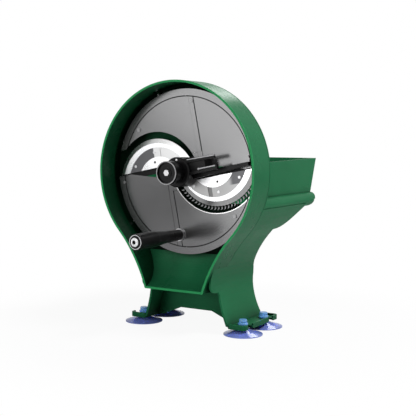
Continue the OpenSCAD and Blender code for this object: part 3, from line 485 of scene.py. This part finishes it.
def soften(obj, width):
    """Rounds the edges of a piece, by a width in millimetres."""
    edge = obj.modifiers.new("edge", "BEVEL")
    edge.width = width * MM
    edge.segments = 2
    edge.limit_method = "ANGLE"
    edge.angle_limit = math.radians(40)


def dress_nodes():
    """Gives every CAD node its finish and its rounded edges."""
    finish_of = {name: finish for finish, names in NODES_OF.items() for name in names}
    for name, obj in nodes.items():
        finish = finish_of.get(name, "steel")
        coat(obj, finish)
        if finish in ROUNDING and name not in SHARP_NODES:
            soften(obj, ROUNDING[finish])


def placed(name, data):
    obj = bpy.data.objects.new(name, data)
    scene.collection.objects.link(obj)
    return obj


def in_machine(x, y, z):
    """A place in the world from millimetres across, behind the front rim and up from the table."""
    return Vector((x, y, z)) * MM + Vector((0, FRONT_Y, 0))


def in_plane(u, v, y):
    """A place in the world from millimetres across and up in the disc's own frame, and behind the rim."""
    across = u * math.cos(TURN) - v * math.sin(TURN)
    up = u * math.sin(TURN) + v * math.cos(TURN)
    return Vector((across, y, up)) * MM + AXIS


def solid(points, faces):
    mesh = bpy.data.meshes.new("solid")
    mesh.from_pydata(points, [], faces)
    bm = bmesh.new()
    bm.from_mesh(mesh)
    bmesh.ops.recalc_face_normals(bm, faces=bm.faces)
    bm.to_mesh(mesh)
    bm.free()
    return placed("solid", mesh)


def loft(sections):
    """A closed solid through outlines that have as many points each."""
    n = len(sections[0])
    last = (len(sections) - 1) * n
    faces = [list(range(n)), list(range(last, last + n))]
    for low in range(0, last, n):
        for i in range(n):
            j = (i + 1) % n
            faces.append([low + i, low + j, low + n + j, low + n + i])
    return solid([point for section in sections for point in section], faces)


def prism(outline, y0, y1):
    return loft([[in_plane(u, v, y) for u, v in outline] for y in (y0, y1)])


def turned(centre, profile, sides=64):
    """A solid of rings round an axis along the depth, from pairs of radius and depth."""
    turns = [2 * math.pi * i / sides for i in range(sides)]
    u, v = centre
    return loft([[in_plane(u + r * math.cos(t), v + r * math.sin(t), y) for t in turns]
                 for r, y in profile])


def rod(start, end, y, profile, sides=24):
    """A round bar between two places on the disc, from pairs of radius and share of its length."""
    way = Vector(end) - Vector(start)
    side = Vector((-way[1], way[0])).normalized()
    turns = [2 * math.pi * i / sides for i in range(sides)]
    sections = []
    for r, share in profile:
        at = Vector(start) + way * share
        sections.append([in_plane(*(at + side * (r * math.cos(t))), y + r * math.sin(t)) for t in turns])
    return loft(sections)


def combined(name, solids, cuts=()):
    """One solid from several that overlap, less the cuts."""
    base = solids[0]
    for other, how in [(s, "UNION") for s in solids[1:]] + [(s, "DIFFERENCE") for s in cuts]:
        step = base.modifiers.new("join", "BOOLEAN")
        step.operation = how
        step.object = other
        step.solver = "EXACT"
    result = base.evaluated_get(bpy.context.evaluated_depsgraph_get())
    mesh = bpy.data.meshes.new_from_object(result)
    for used in (*solids, *cuts):
        bpy.data.objects.remove(used)
    return placed(name, mesh)


def hub_bracket():
    """The hub, its arm with the hooked end and its fork, where the photograph has them.

    Lengths are in millimetres: across and up on the disc, and deep behind the rim. The backs lie a
    little apart, and so do the rails, because the boolean drops solids whose faces share a plane.
    """
    middle = (0, 0)
    back, backs_apart, rails_apart = 33.0, 0.02, 0.1

    hub_r, hub_front, chamfer = 21.5, 9.0, 1.6
    hub = turned(middle, [(hub_r - chamfer, hub_front), (hub_r, hub_front + chamfer), (hub_r, back)])

    arm_from, arm_to, arm_front = -8, 109.0, 23.0
    arm_root_low, arm_end_low, arm_top = -13.8, -10.4, -4.8
    arm_outline = [(arm_from, arm_root_low), (arm_to, arm_end_low), (arm_to, arm_top), (arm_from, arm_top)]
    arm = prism(arm_outline, arm_front, back - backs_apart)

    hook_front = 30.0
    hook_outline = [(107.9, -10.3), (112.8, -10.3), (113.4, -0.8), (110.6, -0.4),
                    (108.2, 3.9), (107.3, 3.6), (109.0, -1.6), (107.9, -4.9)]
    hook = prism(hook_outline, hook_front, back - 2 * backs_apart)

    web_from, web_to, web_front = -4, 47, 13.0
    web_low, web_root_top, web_end_top = -7, 12.6, 10.5
    web_outline = [(web_from, web_low), (web_to, web_low), (web_to, web_end_top), (web_from, web_root_top)]
    web = prism(web_outline, web_front, back - 3 * backs_apart)

    rail_front, rail_back, rail_t = 10.0, 15.5, 2.4
    upper_from, upper_to = -6, 65
    upper_root_top, upper_end_top = 13.6, 11.4
    upper_outline = [(upper_from, upper_root_top - rail_t), (upper_to, upper_end_top - rail_t),
                     (upper_to, upper_end_top), (upper_from, upper_root_top)]
    upper_rail = prism(upper_outline, rail_front, rail_back)

    lower_from, lower_to, stop_from = -2, 66.8, 64.5
    lower_low, lower_top, stop_top = -7.2, -3.6, -0.2
    lower_outline = [(lower_from, lower_low), (lower_to, lower_low), (lower_to, stop_top),
                     (stop_from, stop_top), (stop_from, lower_top), (lower_from, lower_top)]
    lower_rail = prism(lower_outline, rail_front + rails_apart, rail_back + rails_apart)

    before_hub, before_hook, past_back = 5.0, 25.0, 40.0
    shaft_bore_r = 5.05
    shaft_bore = turned(middle, [(shaft_bore_r, before_hub), (shaft_bore_r, past_back)])
    screw_at, screw_r, screw_end = (4.1, 17.2), 0.85, 16.0
    screw_hole = turned(screw_at, [(screw_r, before_hub), (screw_r, screw_end)], sides=24)
    end_screw_at, end_screw_r = (110.5, -3.3), 1.25
    end_screw_hole = turned(end_screw_at, [(end_screw_r, before_hook), (end_screw_r, past_back)], sides=24)
    return combined("bracket", [hub, arm, hook, web, upper_rail, lower_rail],
                    cuts=[shaft_bore, screw_hole, end_screw_hole])


def fork_rods():
    """The two steel rods on the fork's rails, in millimetres. The lower one has a ball at its start."""
    rod_r = 1.3
    edge_from, edge_to, lift = Vector((0, 13.4)), Vector((65, 11.4)), Vector((0, 1.35))
    upper_start_share, upper_y = 19 / 65, 12.75
    upper_from = edge_from.lerp(edge_to, upper_start_share)
    upper = rod(upper_from + lift, edge_to + lift, upper_y, [(rod_r, 0), (rod_r, 1)])

    lower_from, lower_length, lower_y = Vector((34.5, -1.7)), 30, 11.1
    ball_r, neck_share = 1.9, 0.12
    turns = [math.radians(t) for t in range(10, 140, 10)]
    ball = [(ball_r * math.sin(t), (ball_r - ball_r * math.cos(t)) / lower_length) for t in turns]
    lower = rod(lower_from, lower_from + Vector((lower_length, 0)), lower_y,
                ball + [(rod_r, neck_share), (rod_r, 1)])
    return combined("rods", [upper, lower])


def flank_seam(name, side):
    """The strip of a flank that closes the slit between the back of the drum's wall and the front of
    the leg, in millimetres. Its outline goes up the outer side and comes down the inner side."""
    wall_end, leg_start = 45.0, 48.0
    outline = [(60.84, 88.49), (63.72, 95.94), (67.54, 102.98), (68.15, 104.0),
               (64.55, 104.0), (60.97, 97.37), (58.05, 89.57)]
    seam = loft([[in_machine(side * x, y, z) for x, z in outline] for y in (wall_end, leg_start)])
    seam.name = name
    return seam


def draw_pieces():
    """The pieces that the scene adds to the CAD nodes, or puts in the place of one."""
    bracket = hub_bracket()
    coat(bracket, "black")
    soften(bracket, 0.4)
    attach(bracket, "cutter")
    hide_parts("hub_bracket")

    rods = fork_rods()
    coat(rods, "rods")
    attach(rods, "cutter")
    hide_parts("fork_rods")

    for name, side in (("left_flank_seam", -1), ("right_flank_seam", 1)):
        seam = flank_seam(name, side)
        coat(seam, "green")
        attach(seam, "housing")


def floor():
    """A pale floor that keeps the object's shadow. To the camera it glows in part near the object, and
    is plain white further off. In metres."""
    floor_r, near, far, near_glow = 6.0, 0.22, 0.45, 0.92
    mesh = bpy.data.meshes.new("floor")
    bm = bmesh.new()
    bmesh.ops.create_circle(bm, cap_ends=True, radius=floor_r, segments=96)
    bm.to_mesh(mesh)
    bm.free()
    g = Finish("floor_white")
    g.shade(Base_Color=(0.86, 0.86, 0.87, 1), Roughness=0.6)
    glow = g.add("ShaderNodeEmission", Color=(1, 1, 1, 1), Strength=1.0)
    seen = g.add("ShaderNodeLightPath").outputs["Is Camera Ray"]
    glowing = g.span(g.length(g.coords), near_glow, 1.0, near, far, smooth=True)
    both = g.add("ShaderNodeMixShader", Fac=g.times(seen, glowing))
    g.put(both.inputs[1], g.shader.outputs[0])
    g.put(both.inputs[2], glow.outputs[0])
    g.put(g.tree.nodes["Material Output"].inputs["Surface"], both.outputs[0])
    mesh.materials.append(g.mat)
    placed("floor", mesh)


def studio():
    """A white surround: full white to the camera, and softer in reflections and on the surfaces."""
    in_reflections, on_surfaces = 0.8, 0.16
    world = bpy.data.worlds.new("studio")
    scene.world = world
    world.use_nodes = True
    g = Nodes(world.node_tree)
    path = g.add("ShaderNodeLightPath").outputs
    seen = g.most(path["Is Camera Ray"], path["Is Transmission Ray"])
    share = g.most(seen, g.times(path["Is Glossy Ray"], in_reflections))
    back = g.tree.nodes["Background"]
    g.put(back.inputs["Color"], (1, 1, 1, 1))
    g.put(back.inputs["Strength"], g.span(share, on_surfaces, 1.0))


def lamp(name, place, target, size, power):
    data = bpy.data.lights.new(name, "AREA")
    data.shape = "DISK"
    data.size = size
    data.energy = power
    obj = placed(name, data)
    obj.location = place
    obj.rotation_euler = (Vector(target) - Vector(place)).to_track_quat("-Z", "Y").to_euler()


def lamps():
    """Five soft lamps, in metres and watts. The low one makes the light patch at the disc's lower right."""
    lamp("key", place=(1.15, 0.1, 1.75), target=(0, 0, 0.2), size=0.55, power=27)
    lamp("front", place=(-0.55, -1.25, 0.55), target=(0, 0, 0.25), size=0.75, power=2.6)
    lamp("low", place=(-0.42, -1.15, 0.1), target=(0.05, 0, 0.15), size=0.3, power=0.55)
    lamp("fill", place=(0.35, -1.7, 1.4), target=(0, 0, 0.2), size=1.0, power=9)
    lamp("rim", place=(-0.35, 1.35, 1.15), target=(0, 0, 0.3), size=0.4, power=2.2)


def camera():
    """The photograph's camera, fitted to points of the picture. Pixels are those of its square."""
    aim, azimuth, elevation = in_machine(0, 60, 190), math.radians(32.41), math.radians(4.11)
    distance = 1.27401
    picture_pixels, focal_pixels, middle_pixel = 416, 866.79, (195.45, 198.3)
    outward = Vector((math.sin(azimuth) * math.cos(elevation), -math.cos(azimuth) * math.cos(elevation),
                      math.sin(elevation)))
    data = bpy.data.cameras.new("camera")
    data.sensor_width = 36.0
    data.lens = focal_pixels / picture_pixels * data.sensor_width
    data.shift_x = (picture_pixels / 2 - middle_pixel[0]) / picture_pixels
    data.shift_y = (middle_pixel[1] - picture_pixels / 2) / picture_pixels
    obj = placed("camera", data)
    obj.location = aim + outward * distance
    obj.rotation_euler = (-outward).to_track_quat("-Z", "Y").to_euler()
    scene.camera = obj


dress_nodes()
draw_pieces()
floor()
studio()
lamps()
camera()
